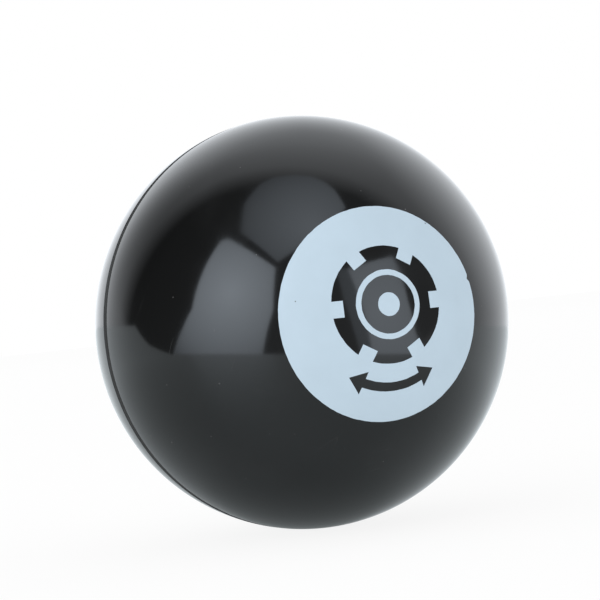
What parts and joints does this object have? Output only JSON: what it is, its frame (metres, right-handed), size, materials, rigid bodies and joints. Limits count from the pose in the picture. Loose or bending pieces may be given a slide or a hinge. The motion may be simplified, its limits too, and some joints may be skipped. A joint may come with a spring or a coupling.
{
  "type": "case opening friction ball",
  "caption": "Hollow black rubber ball with a printed roundel and a self-sealing needle valve, pressed on a screw-down watch case back and turned by hand to open or close it.",
  "frame": {"origin": "centre of the ball", "axes": "+Y out of the needle valve, along the moulding axis; the printed roundel is at the -Y pole with its top towards +Z; the two halves part on the XZ plane"},
  "size_m": [0.065, 0.065, 0.065],
  "materials": {
    "shell_rubber": "glossy moulded black rubber, slightly tacky",
    "rubber_cement": "satin dried rubber cement",
    "plug_rubber": "satin soft gum rubber",
    "print_ink": "pale blue-white pad-printed ink, satin"
  },
  "bodies": {
    "root": {"front_half_shell": "shell_rubber", "rear_half_shell": "shell_rubber", "seam_cement": "rubber_cement", "valve_plug": "plug_rubber", "valve_cement": "rubber_cement", "roundel_print": "print_ink", "mark_ring_print": "print_ink", "mark_hub_print": "print_ink"}
  },
  "joints": []
}
